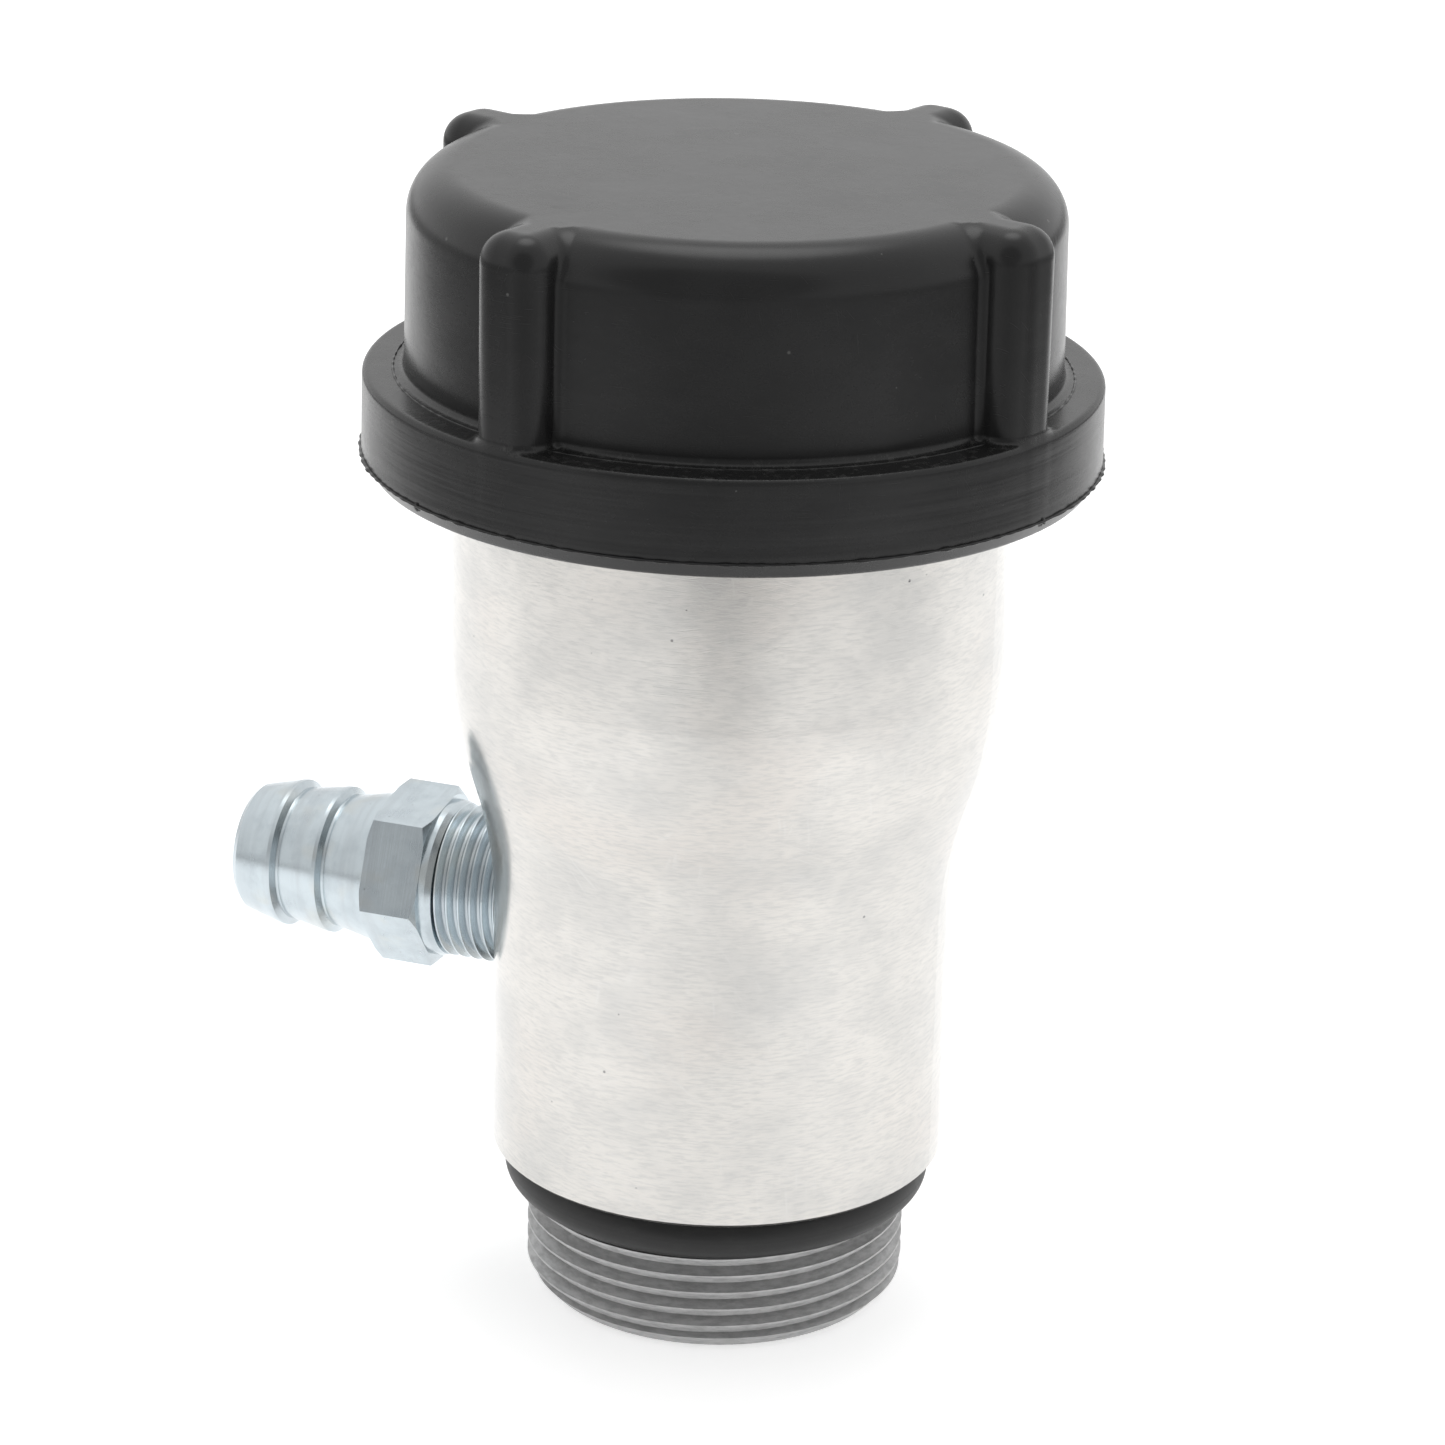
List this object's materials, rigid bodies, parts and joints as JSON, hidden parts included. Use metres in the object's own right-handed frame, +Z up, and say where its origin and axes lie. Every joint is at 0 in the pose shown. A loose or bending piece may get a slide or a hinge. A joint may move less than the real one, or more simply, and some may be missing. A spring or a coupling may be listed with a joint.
{
  "type": "hydraulic reservoir",
  "caption": "Small screw-on hydraulic reservoir: waisted aluminium body, threaded spigot with O-ring, side hose barb and a winged black screw cap.",
  "frame": {"origin": "on the body's axis at the lower end of the threaded spigot", "axes": "+Z up along the body's axis towards the cap; the hose barb points along -X"},
  "size_m": [0.0961, 0.0796, 0.1275],
  "materials": {
    "body_metal": "satin, brushed by hand",
    "cap_plastic": "moulded, satin",
    "seal_rubber": "smooth",
    "fitting_metal": "bright zinc plate",
    "strainer_metal": "rolled sheet",
    "spring_steel": "drawn wire"
  },
  "bodies": {
    "reservoir": {"reservoir_body": "body_metal", "base_o_ring": "seal_rubber", "hose_fitting": "fitting_metal", "strainer_rim": "strainer_metal", "strainer_gauze": "strainer_metal", "strainer_base": "strainer_metal", "strainer_snap_ring": "spring_steel"},
    "gasket": {"cap_gasket": "seal_rubber"},
    "cap": {"filler_cap": "cap_plastic"}
  },
  "joints": [
    {"name": "cap_turn", "type": "hinge", "parent": "gasket", "child": "cap", "pos_m": [0, 0, 0.11], "axis": [0, 0, 1], "range_deg": [0, 1170]},
    {"name": "cap_rise", "type": "slide", "parent": "reservoir", "child": "gasket", "axis": [0, 0, 1], "range_m": [0, 0.0132]}
  ],
  "couplings": [
    {"joint": "cap_rise", "follows": "cap_turn", "m_per_rad": 0.00063662}
  ]
}
